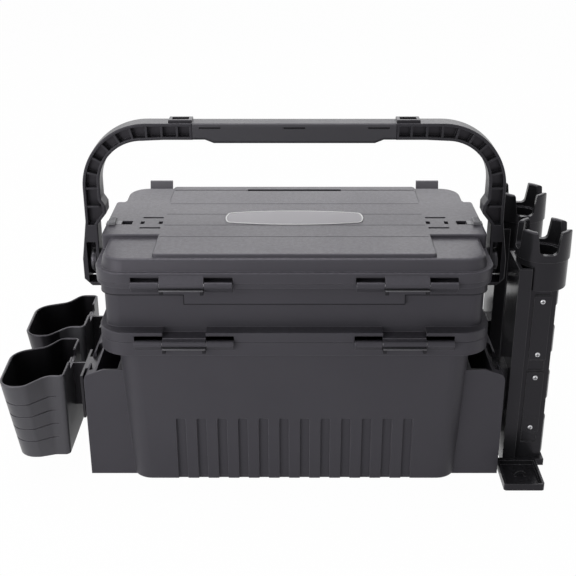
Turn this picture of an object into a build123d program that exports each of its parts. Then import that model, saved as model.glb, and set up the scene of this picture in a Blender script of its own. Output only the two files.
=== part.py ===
from build123d import *
import math
import os

# Two-layer tackle box with a folding carry handle, lift-off tool holders and lift-off rod stands.
# Millimetres. +X runs along the box, -Y is the hinge side, +Z is up and the floor is at Z = 0.

# Moulding walls and clearances
wall = 2.5
floor_thickness = 3.0
seam = 0.3  # gap between layers that close on each other
side_play = 0.5  # gap beside a piece that turns
slide_play = 0.3  # gap around a piece that slides or plugs in
pin_play = 0.05  # radial clearance of a pin in the piece that turns on it
pin_seat = 0.02  # radial clearance of a pin in the piece that holds it
soft_edge = 1.0  # rounding of the moulded edges

# Lower box
box_height = 165.15
body_length = 357.0
body_width = 228.0
body_radius = 22.0
body_draft_x = 6.5
body_draft_y = 4.0
foot_round = 3.0
rim_overhang_x = 17.1
rim_overhang_y = 4.0
rim_radius = 30.0
rim_height = 14.4
groove_count = 12
groove_pitch = 21.3
groove_width = 10.0
groove_depth = 3.5
groove_height = 75.0

# End wings of the lower box and the sockets in them
wing_depth = 37.8
wing_set_in = 15.0
wing_drop = 40.65
wing_rise = 7.1
wing_shoulder = 20.3
wing_round = 8.0
socket_set_in = 41.0
socket_depth = 62.5
socket_lip = 4.0
rail_head_width = 62.0
rail_head_thickness = 6.0
rail_neck_width = 26.0
rail_height = 49.7

# Upper tray
tray_height = 62.55
tray_set_in_x = 6.0
tray_set_in_y = 15.0
tray_radius = 16.0
flange_height = 10.0
tray_rim_height = 4.5
band_depth = 3.0
band_height = 17.0
apron_drop = 10.0
divider_count = 3
divider_thickness = 2.0
divider_height = 46.0
guide_thickness = 2.0
guide_reach = 3.0

# Top lid
lid_height = 26.1
lid_overhang = 0.4
skirt_height = 10.7
pad_set_in_x = 5.5
pad_set_in_y = 4.5
pad_radius = 24.0
pad_draft = 3.0
pad_drop = 3.4
pad_round = 4.0
panel_set_in_x = 56.0
panel_set_in_y = 10.0
panel_radius = 4.0
panel_bevel = 2.0
panel_round = 2.0
band_width = 104.0
lid_rim_x = 12.5
lid_rim_y = 14.5
lid_ceiling = 2.6
seam_line_width = 1.0
seam_line_depth = 0.5
seam_line_pitch = 34.0
seam_line_count = 4
seam_line_start = -58.0
lip_line_y = 92.0
lip_line_width = 2.0
finger_slot_length = 106.0
finger_slot_width = 6.0
finger_slot_depth = 3.0

# Clip slots pressed into the lid beside each handle stop
clip_slot_set_in = 47.0
clip_slot_length = 21.5
clip_slot_width = 4.0
clip_slot_spread = 31.0
clip_square_spread = 19.0
clip_square_length = 4.2
clip_square_width = 8.0
clip_slot_depth = 2.5

# Plaque, a blunt oval
plaque_length = 146.0
plaque_width = 44.0
plaque_end_width = 30.0
plaque_bulge = 3.0
plaque_corner = 5.0
plaque_y = -2.0
plaque_thickness = 1.0
plaque_recess = 0.6

# Hinges, a pair at each seam
hinge_set_in = 86.6
hinge_span = 98.0
tongue_width = 43.0
barrel_radius = 3.25
barrel_gap = 0.35
hinge_pin_radius = 1.5
hinge_apron = 8.5
tray_tongue_apron = 4.0
flange_gap_height = 5.5
notch_height = 6.6
notch_depth = 4.0

# Latches, a pair at each seam
latch_set_in = 40.6
latch_width = 26.0
latch_stand_off = 4.2
latch_thickness = 3.2
latch_gap = 0.8
latch_pivot_drop = 23.0
latch_barrel_radius = 3.4
latch_pin_radius = 1.5
latch_ear_thickness = 4.0
latch_ear_radius = 4.2
bead_reach = 0.5
bead_lift = 0.4
bead_height = 2.4
finger_height = 16.0
finger_flare = 5.0

# Carry handle
handle_pivot_drop = 20.5
handle_rise = 104.0
handle_corner = 69.0
arm_inner_corner = 46.0
arm_thickness = 18.0
arm_width = 22.0
bar_thickness = 17.0
bar_blend = 22.0
flange_thickness = 3.0
web_thickness = 3.0
rib_thickness = 2.2
rib_set_back = 1.0
bar_rib_count = 2
arc_rib_count = 7
leg_rib_count = 1
arm_pocket_lift = 42.0
leg_step = 12.5
leg_bulge = 4.2
leg_bulge_rise = 63.5
leg_bulge_run = 7.0
hub_width = 18.5
hub_drop = 27.0
hub_round = 8.0
hub_cheek_rise = 4.0
hub_cheek_run = 42.0
hub_jog_rise = 42.5
hub_jog_run = 12.0
hub_plate = 3.4
hub_shell = 2.5
hub_window_half = 23.0
hub_back = 2.4
grip_end_reach = 116.2
grip_width = 24.0
grip_depth = 20.7
grip_deep_set_in = 21.3
grip_end_depth = 17.1
grip_shoulder = 9.0
grip_round = 3.5
grip_slot_length = 22.0
grip_slot_width = 2.0
grip_slot_depth = 1.0
grip_slot_set_in = 17.8
grip_slot_drop = 4.4
plug_length = 18.0
plug_height = 11.0
plug_width = 14.0
clip_tab_length = 24.0
clip_tab_width = 16.0
clip_tab_height = 3.0
clip_tab_wall = 3.5
clip_tab_hollow = 2.0

# Pivot ears on the lid and the pins in them
ear_thickness = 4.4
ear_half_width = 22.0
ear_radius = 16.0
ear_drop = 9.4
ear_boss_height = 6.4
ear_boss_radius = 12.0
pivot_radius = 5.0
pivot_head_radius = 13.0
pivot_head_thickness = 6.5
pivot_head_round = 2.2

# Handle stops that slide on the lid
stop_y = -16.6
stop_length = 16.0
stop_neck_width = 10.2
stop_foot_width = 15.0
stop_foot_height = 1.7
stop_tab_set_in = 3.2
stop_tab_length = 6.8
stop_tab_width = 16.0
stop_tab_height = 3.6
stop_tab_lift = 0.3
stop_slot_length = 27.0
stop_slot_depth = 4.4
stop_boss_depth = 3.0

# Tool holders and their rails, on the -X wing
holder_stand_off = 18.7
holder_drop = 4.5
holder_height = 90.0
holder_depth = 66.0
holder_draft = 10.0
holder_front = 47.0
holder_foot_front = 51.0
holder_back = 41.5
holder_shift = 26.0
holder_foot_shift = 6.0
holder_groove_count = 4
holder_groove_pitch = 15.6
holder_groove_drop = 23.0
holder_groove_height = 1.6
holder_groove_depth = 1.1
holder_groove_end = 9.0
rail_plate_stand_off = 3.2
rail_plate_thickness = 2.5
rail_plate_width = 61.0
rail_web_thickness = 2.5
rail_tee_width = 25.0
rail_tee_thickness = 2.2
tee_notch_width = 29.0

# Rod stands, on the +X wing
rod_stand_off = 35.5
tube_diameter = 40.0
tube_bore = 34.0
tube_top = 205.0
channel_reach = 14.0
ring_spans = ((0.0, 41.0), (67.0, 28.0), (122.0, 26.0), (176.0, 21.0))
window_spans = ((18.0, 10.0), (105.0, 11.0), (191.0, 5.0))
window_width = 16.0
window_depth = 1.4
panel_spans = ((31.0, 72.0), (118.0, 72.0))
panel_plate_width = 18.0
panel_plate_height = 1.5
barrel_diameter = 52.0
collar_diameter = 54.6
collar_bore = 44.0
collar_bottom = 236.0
collar_top = 267.0
collar_ledge = 4.0
collar_notch_width = 17.5
collar_notch_flare = 3.0
collar_notch_floor = 8.0
collar_notch_round = 5.0
collar_round = 1.8
bracket_stand_off = 8.0
bracket_plate = 3.5
bracket_depth = 13.2
bracket_half_width = 26.0
bracket_flange = 4.0
bracket_top = 229.0
bracket_lug_half_width = 6.0
bracket_lug_height = 18.0
bracket_lug_levels = (45.0, 160.0)
foot_lift = 0.4
foot_top = 8.0
foot_stand_off = 1.7
foot_width = 42.0
foot_reach = 74.0
foot_floor = 2.4
foot_corner = 3.0
foot_loop_radius = 6.5
foot_loop_wire = 2.6

# Levels and places that follow from the sizes above
rim_length = body_length + 2 * rim_overhang_x
rim_width = body_width + 2 * rim_overhang_y
rim_face = rim_width / 2
tray_length = rim_length - 2 * tray_set_in_x
tray_width = rim_width - 2 * tray_set_in_y
tray_bottom = box_height + seam
tray_top = tray_bottom + tray_height
flange_top = tray_bottom + flange_height
lid_length = rim_length + 2 * lid_overhang
lid_bottom = tray_top + seam
lid_top = lid_bottom + lid_height
skirt_top = lid_bottom + skirt_height
pad_length = lid_length - 2 * pad_set_in_x
pad_width = rim_width - 2 * pad_set_in_y
pad_top = lid_top - pad_drop
panel_length = lid_length - 2 * panel_set_in_x
panel_width = rim_width - 2 * panel_set_in_y
lid_inner_length = lid_length - 2 * lid_rim_x
lid_inner_width = rim_width - 2 * lid_rim_y
clip_slot_x = lid_length / 2 - clip_slot_set_in
hinge_x = rim_length / 2 - hinge_set_in
hinge_y = -(rim_face + barrel_radius + barrel_gap)
lower_axis_z = box_height + seam / 2
upper_axis_z = tray_top + seam / 2
latch_x = rim_length / 2 - latch_set_in
latch_y = rim_face + latch_stand_off
lower_latch_z = flange_top - latch_pivot_drop
upper_latch_z = skirt_top - latch_pivot_drop
wing_reach = body_length / 2 + wing_depth
wing_width = body_width - 2 * wing_set_in
wing_top = box_height - wing_drop
wing_height = wing_top - wing_rise
socket_floor = wing_top - socket_depth
rail_head_outer_x = wing_reach - socket_lip - slide_play
rail_head_inner_x = rail_head_outer_x - rail_head_thickness
socket_inner_x = rail_head_inner_x - slide_play
rail_bottom = socket_floor + slide_play
rail_top = rail_bottom + rail_height
near_y = socket_set_in - wing_width / 2
far_y = -near_y
ear_inner_x = rim_length / 2 + slide_play
ear_outer_x = ear_inner_x + ear_thickness
ear_top = lid_top - ear_drop
hub_inner = ear_outer_x + ear_boss_height + slide_play
hub_reach = hub_inner + hub_width
handle_reach = hub_inner + leg_step
handle_pivot_z = tray_top - handle_pivot_drop
handle_top = lid_top + handle_rise
arm_inner_x = handle_reach - arm_thickness
corner_x = handle_reach - handle_corner
corner_z = handle_top - handle_corner
inner_corner_x = arm_inner_x - arm_inner_corner
inner_corner_z = handle_top - arm_thickness - arm_inner_corner
arm_pocket_floor = handle_pivot_z + arm_pocket_lift
grip_half = handle_reach - grip_end_reach
grip_deep_half = grip_half - grip_deep_set_in
grip_slot_x = grip_half - grip_slot_set_in
stop_inner_x = lid_length / 2 - stop_length
stop_tab_outer_x = lid_length / 2 - stop_tab_set_in
stop_tab_inner_x = stop_tab_outer_x - stop_tab_length
stop_slot_inner_x = lid_length / 2 - stop_slot_length
holder_inner_x = wing_reach + holder_stand_off
holder_top = wing_top - holder_drop
holder_bottom = holder_top - holder_height
holder_groove_top = holder_top - holder_groove_drop
rail_plate_x = wing_reach + rail_plate_stand_off
rod_axis_x = wing_reach + rod_stand_off
bracket_inner_x = wing_reach + bracket_stand_off
bracket_outer_x = bracket_inner_x + bracket_depth
foot_inner_x = wing_reach + foot_stand_off
foot_outer_x = foot_inner_x + foot_width
tongue_spans = [(x - tongue_width / 2, x + tongue_width / 2) for x in (-hinge_x, hinge_x)]
knuckle_spans = []
for x in (-hinge_x, hinge_x):
    knuckle_spans.append((x - hinge_span / 2, x - tongue_width / 2 - side_play))
    knuckle_spans.append((x + tongue_width / 2 + side_play, x + hinge_span / 2))


def body_plan(z, inset):
    """Length, width and corner radius of the drafted tub at a height, drawn in by a wall."""
    narrowing = 1 - z / box_height
    length = body_length - 2 * body_draft_x * narrowing - 2 * inset
    width = body_width - 2 * body_draft_y * narrowing - 2 * inset
    return length, width, body_radius - inset


def plate(length, width, radius, bottom, top, mode=Mode.ADD):
    """A flat rounded plate about the Z axis."""
    with BuildSketch(Plane.XY.offset(bottom)) as plan:
        RectangleRounded(length, width, radius)
    extrude(plan.sketch, amount=top - bottom, mode=mode)


def drafted_plate(lower, upper, bottom, top, mode=Mode.ADD):
    """A rounded plate whose plan changes evenly from its bottom to its top."""
    with BuildSketch(Plane.XY.offset(bottom)) as low_plan:
        RectangleRounded(*lower)
    with BuildSketch(Plane.XY.offset(top)) as high_plan:
        RectangleRounded(*upper)
    loft([low_plan.sketch, high_plan.sketch], mode=mode)


def ring_pocket(outer, inner, bottom, top):
    """A groove between two rounded plans, cut from below."""
    with BuildSketch(Plane.XY.offset(bottom)) as plan:
        RectangleRounded(*outer)
        RectangleRounded(*inner, mode=Mode.SUBTRACT)
    extrude(plan.sketch, amount=top - bottom, mode=Mode.SUBTRACT)


def block(x_span, y_span, z_span, mode=Mode.ADD):
    """A box between two values on each axis."""
    spans = (x_span, y_span, z_span)
    with Locations(tuple((low + high) / 2 for low, high in spans)):
        Box(*(abs(high - low) for low, high in spans), mode=mode)


def rod_along_x(x_span, y, z, radius, mode=Mode.ADD):
    """A round bar or hole along X."""
    with BuildSketch(Plane.YZ.offset(x_span[0])) as section:
        with Locations((y, z)):
            Circle(radius)
    extrude(section.sketch, amount=x_span[1] - x_span[0], mode=mode)


def hinge_knuckle(x_span, axis_z, rise, apron=hinge_apron):
    """A barrel on the hinge line with its sloped apron, above the axis for rise 1 and below it for -1."""
    lap = wall / 2
    with BuildSketch(Plane.YZ.offset(x_span[0])) as section:
        with BuildLine():
            Polyline(
                (-rim_face + lap, axis_z + rise * seam / 2),
                (hinge_y, axis_z + rise * seam / 2),
                (hinge_y - barrel_radius * 0.8, axis_z + rise * barrel_radius * 0.6),
                (-rim_face, axis_z + rise * apron),
                (-rim_face + lap, axis_z + rise * apron),
                close=True,
            )
        make_face()
        with Locations((hinge_y, axis_z)):
            Circle(barrel_radius)
    extrude(section.sketch, amount=x_span[1] - x_span[0])


def hinge_bores(axis_z, clearance):
    """The pin holes of both hinges on one seam."""
    for x in (-hinge_x, hinge_x):
        span = (x - hinge_span / 2 - 1, x + hinge_span / 2 + 1)
        rod_along_x(span, hinge_y, axis_z, hinge_pin_radius + clearance, Mode.SUBTRACT)


def knuckle_notches(bottom):
    """Room in a skirt above the side knuckles of the layer below."""
    for low, high in knuckle_spans:
        span = (low - side_play, high + side_play)
        block(span, (-rim_face - 1, -rim_face + notch_depth), (bottom - 1, bottom + notch_height), Mode.SUBTRACT)


def latch_ears(pivot_z, top):
    """Two ears for each latch, hung from a rim on the +Y side."""
    root = rim_face - wall
    for centre in (-latch_x, latch_x):
        for side in (-1, 1):
            inner = centre + side * (latch_width / 2 + side_play)
            outer = inner + side * latch_ear_thickness
            with BuildSketch(Plane.YZ.offset(min(inner, outer))) as section:
                with BuildLine():
                    Polyline(
                        (root, top),
                        (latch_y, top),
                        (latch_y + latch_ear_radius, pivot_z),
                        (latch_y - latch_ear_radius, pivot_z),
                        (root, pivot_z + latch_ear_radius),
                        close=True,
                    )
                make_face()
                with Locations((latch_y, pivot_z)):
                    Circle(latch_ear_radius)
            extrude(section.sketch, amount=latch_ear_thickness)
            hole = (min(inner, outer) - 1, max(inner, outer) + 1)
            rod_along_x(hole, latch_y, pivot_z, latch_pin_radius + pin_seat, Mode.SUBTRACT)


def save(part, name):
    part.label = name
    export_step(part, f"parts/{name}.step")


os.makedirs("parts", exist_ok=True)


# Lower box: drafted tub, end wings with sockets, rim, side knuckles and latch ears
draft_angle = math.atan2(body_draft_y, box_height)
with BuildPart() as lower_box:
    drafted_plate(body_plan(0, 0), body_plan(box_height, 0), 0, box_height)
    fillet(lower_box.faces().sort_by(Axis.Z)[0].edges(), foot_round)
    wing_root = body_length / 2 - body_draft_x - wall - foot_round
    for side in (-1, 1):
        with BuildSketch(Plane.XZ) as wing_section:
            with BuildLine():
                Polyline(
                    (side * wing_root, 0),
                    (side * wing_reach, 0),
                    (side * wing_reach, wing_height),
                    (side * (wing_reach - wing_shoulder), wing_top),
                    (side * wing_root, wing_top),
                    close=True,
                )
            make_face()
            crown = wing_section.vertices().sort_by_distance((side * wing_reach, wing_height, 0))[0]
            fillet(crown, wing_round)
        extrude(amount=wing_width / 2, both=True)
    plate(rim_length, rim_width, rim_radius, box_height - rim_height, box_height)
    fillet(lower_box.edges(Select.LAST).group_by(Axis.Z)[-1], soft_edge)
    drafted_plate(
        body_plan(floor_thickness, wall), body_plan(box_height, wall), floor_thickness, box_height, Mode.SUBTRACT
    )
    for side in (-1, 1):
        rim_pocket = (side * (body_length / 2 + wall), side * (rim_length / 2 - wall))
        half_pocket = rim_face - rim_radius
        block(
            rim_pocket, (-half_pocket, half_pocket), (box_height - rim_height - 1, box_height - wall), Mode.SUBTRACT
        )
        half_wing = wing_width / 2 - wall
        well = (side * (body_length / 2 + wall), side * (socket_inner_x - wall))
        block(well, (-half_wing, half_wing), (floor_thickness, wing_top + 1), Mode.SUBTRACT)
        core = (side * socket_inner_x, side * (wing_reach - wall))
        block(core, (-half_wing, half_wing), (-1, socket_floor - wall), Mode.SUBTRACT)
        for y in (near_y, far_y):
            half_head = rail_head_width / 2 + slide_play
            half_neck = rail_neck_width / 2 + slide_play
            above = (socket_floor, wing_top + 1)
            head = (side * socket_inner_x, side * (wing_reach - socket_lip))
            mouth = (side * (wing_reach - socket_lip - 1), side * (wing_reach + 1))
            block(head, (y - half_head, y + half_head), above, Mode.SUBTRACT)
            block(mouth, (y - half_neck, y + half_neck), above, Mode.SUBTRACT)
    for face in (-1, 1):
        foot_y = face * (body_width / 2 - body_draft_y)
        outward = (0, face * math.cos(draft_angle), -math.sin(draft_angle))
        ribbed_wall = Plane(origin=(0, foot_y, 0), x_dir=(-face, 0, 0), z_dir=outward)
        with BuildSketch(ribbed_wall.offset(-wall / 2)):
            with Locations((0, (groove_height + wall) / 2 + floor_thickness / 2)):
                with GridLocations(groove_pitch, 1, groove_count, 1):
                    Rectangle(groove_width + 2 * wall, groove_height + wall - floor_thickness)
        extrude(amount=-groove_depth - wall / 2)
        with BuildSketch(ribbed_wall.offset(1)):
            with Locations((0, groove_height / 2 - foot_round)):
                with GridLocations(groove_pitch, 1, groove_count, 1):
                    RectangleRounded(groove_width, groove_height + 2 * foot_round, groove_width / 5)
        extrude(amount=-groove_depth - 1, mode=Mode.SUBTRACT)
    for span in knuckle_spans:
        hinge_knuckle(span, lower_axis_z, -1)
    hinge_bores(lower_axis_z, pin_seat)
    latch_ears(lower_latch_z, box_height)
save(lower_box.part, "lower_box")


# Upper tray: foot flange over the lower box, proud band, rim, and divider guides inside
divider_pitch = tray_length / (divider_count + 1)
divider_places = [(i - (divider_count - 1) / 2) * divider_pitch for i in range(divider_count)]
guide_gap = divider_thickness / 2 + slide_play
tray_inner = (tray_length - 2 * wall, tray_width - 2 * wall, tray_radius - wall)
band_bottom = tray_top - band_height
band_plan = (tray_length + 2 * band_depth, tray_width + 2 * band_depth, tray_radius + band_depth)
with BuildPart() as upper_tray:
    plate(rim_length, rim_width, rim_radius, tray_bottom, flange_top)
    fillet(upper_tray.edges().group_by(Axis.Z)[-1], soft_edge)
    plate(tray_length, tray_width, tray_radius, tray_bottom, tray_top)
    plate(*band_plan, band_bottom, tray_top)
    band_face = tray_width / 2 + band_depth
    block((-hinge_x, hinge_x), (-band_face, band_face), (band_bottom - apron_drop, band_bottom))
    plate(rim_length, rim_width, rim_radius, tray_top - tray_rim_height, tray_top)
    plate(*tray_inner, tray_bottom + wall, tray_top, Mode.SUBTRACT)
    ring_pocket(
        (rim_length - 2 * wall, rim_width - 2 * wall, rim_radius - wall),
        (tray_length, tray_width, tray_radius),
        tray_bottom,
        flange_top - wall,
    )
    for x in divider_places:
        for side in (-1, 1):
            for end in (-1, 1):
                guide_x = (x + side * guide_gap, x + side * (guide_gap + guide_thickness))
                guide_y = (end * (tray_width / 2 - wall / 2), end * (tray_width / 2 - wall - guide_reach))
                block(guide_x, guide_y, (tray_bottom + wall / 2, tray_bottom + wall + divider_height))
    knuckle_notches(tray_bottom)
    for span in tongue_spans:
        gap_y = (-rim_face - 1, -tray_width / 2)
        gap_floor = flange_top - flange_gap_height
        block(span, gap_y, (gap_floor, flange_top + 1), Mode.SUBTRACT)
        block(span, (-rim_face, -tray_width / 2 + wall / 2), (tray_bottom, gap_floor))
        hinge_knuckle(span, lower_axis_z, 1, tray_tongue_apron)
    hinge_bores(lower_axis_z, pin_play)
    for span in knuckle_spans:
        hinge_knuckle(span, upper_axis_z, -1)
    hinge_bores(upper_axis_z, pin_seat)
    latch_ears(upper_latch_z, tray_top)
save(upper_tray.part, "upper_tray")

with BuildPart() as tray_dividers:
    divider_half = tray_width / 2 - wall - slide_play
    for x in divider_places:
        divider_x = (x - divider_thickness / 2, x + divider_thickness / 2)
        divider_z = (tray_bottom + wall, tray_bottom + wall + divider_height)
        block(divider_x, (-divider_half, divider_half), divider_z)
save(tray_dividers.part, "tray_dividers")


def plaque_outline(grow):
    """A blunt oval made of four arcs, grown by a clearance."""
    half_length = plaque_length / 2
    half_width = plaque_width / 2
    shoulder_x = half_length - plaque_bulge
    shoulder_y = plaque_end_width / 2
    with BuildSketch(Plane.XY.offset(lid_top - plaque_recess)) as outline:
        with BuildLine():
            ThreePointArc((-shoulder_x, shoulder_y), (0, half_width), (shoulder_x, shoulder_y))
            ThreePointArc((shoulder_x, shoulder_y), (half_length, 0), (shoulder_x, -shoulder_y))
            ThreePointArc((shoulder_x, -shoulder_y), (0, -half_width), (-shoulder_x, -shoulder_y))
            ThreePointArc((-shoulder_x, -shoulder_y), (-half_length, 0), (-shoulder_x, shoulder_y))
        make_face()
        fillet(outline.vertices(), plaque_corner)
        if grow:
            offset(amount=grow)
    return outline.sketch.moved(Location((0, plaque_y, 0)))


# Top lid: skirt, corner pads, raised panel, pivot ears for the handle and slots for its stops
with BuildPart() as top_lid:
    plate(lid_length, rim_width, rim_radius, lid_bottom, skirt_top)
    fillet(top_lid.edges().group_by(Axis.Z)[-1], soft_edge)
    pad_crown = (pad_length - 2 * pad_draft, pad_width - 2 * pad_draft, pad_radius - pad_draft)
    drafted_plate((pad_length, pad_width, pad_radius), pad_crown, skirt_top - soft_edge, pad_top)
    fillet(top_lid.edges().group_by(Axis.Z)[-1], pad_round)
    panel_foot = (panel_length, panel_width, panel_radius)
    panel_crown = (panel_length - 2 * panel_bevel, panel_width - 2 * panel_bevel, panel_radius)
    drafted_plate(panel_foot, panel_crown, skirt_top - soft_edge, lid_top)
    plate(lid_length, band_width, panel_radius, lid_bottom + wall, lid_top)
    crown_edges = top_lid.edges().filter_by_position(Axis.Z, lid_top - 0.01, lid_top + 0.01)
    fillet(crown_edges, panel_round)
    plate(lid_inner_length, lid_inner_width, tray_radius, lid_bottom, pad_top - lid_ceiling, Mode.SUBTRACT)
    ring_pocket(
        (lid_length - 2 * wall, rim_width - 2 * wall, rim_radius - wall),
        (lid_inner_length + 2 * wall, lid_inner_width + 2 * wall, tray_radius + wall),
        lid_bottom,
        skirt_top - wall,
    )
    half_line = panel_length / 2 - panel_bevel - panel_round
    line_z = (lid_top - seam_line_depth, lid_top + 1)
    for i in range(seam_line_count):
        y = seam_line_start + i * seam_line_pitch
        line_y = (y - seam_line_width / 2, y + seam_line_width / 2)
        block((-half_line, half_line), line_y, line_z, Mode.SUBTRACT)
    lip_y = (lip_line_y - lip_line_width / 2, lip_line_y + lip_line_width / 2)
    block((-half_line, half_line), lip_y, (lid_top - 2 * seam_line_depth, lid_top + 1), Mode.SUBTRACT)
    half_slot = finger_slot_length / 2
    slot_y = (lip_line_y - finger_slot_width / 2, lip_line_y + finger_slot_width / 2)
    block((-half_slot, half_slot), slot_y, (lid_top - finger_slot_depth, lid_top + 1), Mode.SUBTRACT)
    for side in (-1, 1):
        with BuildSketch(Plane.XY.offset(lid_top)) as clip_slots:
            with Locations((side * clip_slot_x, stop_y)):
                with GridLocations(1, clip_slot_spread, 1, 2):
                    Rectangle(clip_slot_length, clip_slot_width)
                with GridLocations(clip_square_spread, 1, 2, 1):
                    Rectangle(clip_square_length, clip_square_width)
        extrude(amount=-clip_slot_depth, mode=Mode.SUBTRACT)
        half_boss = stop_foot_width / 2 + slide_play + wall
        boss_z = (lid_top - stop_slot_depth - stop_boss_depth, lid_top - stop_slot_depth)
        boss_x = (side * (stop_slot_inner_x - wall), side * (lid_length / 2 - wall))
        block(boss_x, (stop_y - half_boss, stop_y + half_boss), boss_z)
        slot_x = (side * stop_slot_inner_x, side * (lid_length / 2 + 1))
        half_neck = stop_neck_width / 2 + slide_play
        half_foot = stop_foot_width / 2 + slide_play
        foot_z = (lid_top - stop_slot_depth, lid_top - stop_slot_depth + stop_foot_height + 2 * slide_play)
        neck_z = (lid_top - stop_slot_depth, lid_top + 1)
        block(slot_x, (stop_y - half_foot, stop_y + half_foot), foot_z, Mode.SUBTRACT)
        block(slot_x, (stop_y - half_neck, stop_y + half_neck), neck_z, Mode.SUBTRACT)
        with BuildSketch(Plane.YZ.offset(side * ear_inner_x)) as ear_section:
            with BuildLine():
                Polyline(
                    (-ear_half_width, ear_top),
                    (ear_half_width, ear_top),
                    (ear_half_width, lid_bottom),
                    (ear_radius, handle_pivot_z),
                    (-ear_radius, handle_pivot_z),
                    (-ear_half_width, lid_bottom),
                    close=True,
                )
            make_face()
            with Locations((0, handle_pivot_z)):
                Circle(ear_radius)
        extrude(amount=side * ear_thickness)
        boss_span = sorted((side * ear_outer_x, side * (hub_inner - slide_play)))
        rod_along_x(boss_span, 0, handle_pivot_z, ear_boss_radius)
        pivot_span = sorted((side * (ear_inner_x - 1), side * hub_inner))
        rod_along_x(pivot_span, 0, handle_pivot_z, pivot_radius + pin_seat, Mode.SUBTRACT)
    knuckle_notches(lid_bottom)
    for span in tongue_spans:
        hinge_knuckle(span, upper_axis_z, 1)
    hinge_bores(upper_axis_z, pin_play)
    extrude(plaque_outline(slide_play), amount=plaque_recess + 1, mode=Mode.SUBTRACT)
save(top_lid.part, "top_lid")

with BuildPart() as lid_plaque:
    extrude(plaque_outline(0), amount=plaque_thickness)
save(lid_plaque.part, "lid_plaque")


# Hinge pins, one group for each seam
for name, axis_z in (("tray_hinge_pins", lower_axis_z), ("lid_hinge_pins", upper_axis_z)):
    with BuildPart() as hinge_pins:
        for x in (-hinge_x, hinge_x):
            rod_along_x((x - hinge_span / 2, x + hinge_span / 2), hinge_y, axis_z, hinge_pin_radius)
    save(hinge_pins.part, name)


# Latches: barrel low on the layer below, small bead above the flange, finger tab at the top
for layer, pivot_z, ledge in (("tray", lower_latch_z, flange_top), ("lid", upper_latch_z, skirt_top)):
    for hand, centre in (("left", -latch_x), ("right", latch_x)):
        back = rim_face + latch_gap
        front = back + latch_thickness
        bead_bottom = ledge + bead_lift
        finger_top = ledge + finger_height
        with BuildPart() as latch:
            with BuildSketch(Plane.YZ.offset(centre - latch_width / 2)):
                with BuildLine():
                    Polyline(
                        (back, pivot_z),
                        (back, bead_bottom),
                        (back - bead_reach, bead_bottom + bead_height / 3),
                        (back - bead_reach, bead_bottom + bead_height * 2 / 3),
                        (back, bead_bottom + bead_height),
                        (back + finger_flare, finger_top),
                        (front + finger_flare, finger_top),
                        (front, bead_bottom),
                        (front, pivot_z),
                        close=True,
                    )
                make_face()
                with Locations((latch_y, pivot_z)):
                    Circle(latch_barrel_radius)
                    Circle(latch_pin_radius + pin_play, mode=Mode.SUBTRACT)
            extrude(amount=latch_width)
        save(latch.part, f"{layer}_latch_{hand}")
    with BuildPart() as latch_pins:
        pin_half = latch_width / 2 + side_play + latch_ear_thickness
        for centre in (-latch_x, latch_x):
            rod_along_x((centre - pin_half, centre + pin_half), latch_y, pivot_z, latch_pin_radius)
    save(latch_pins.part, f"{layer}_latch_pins")


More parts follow.
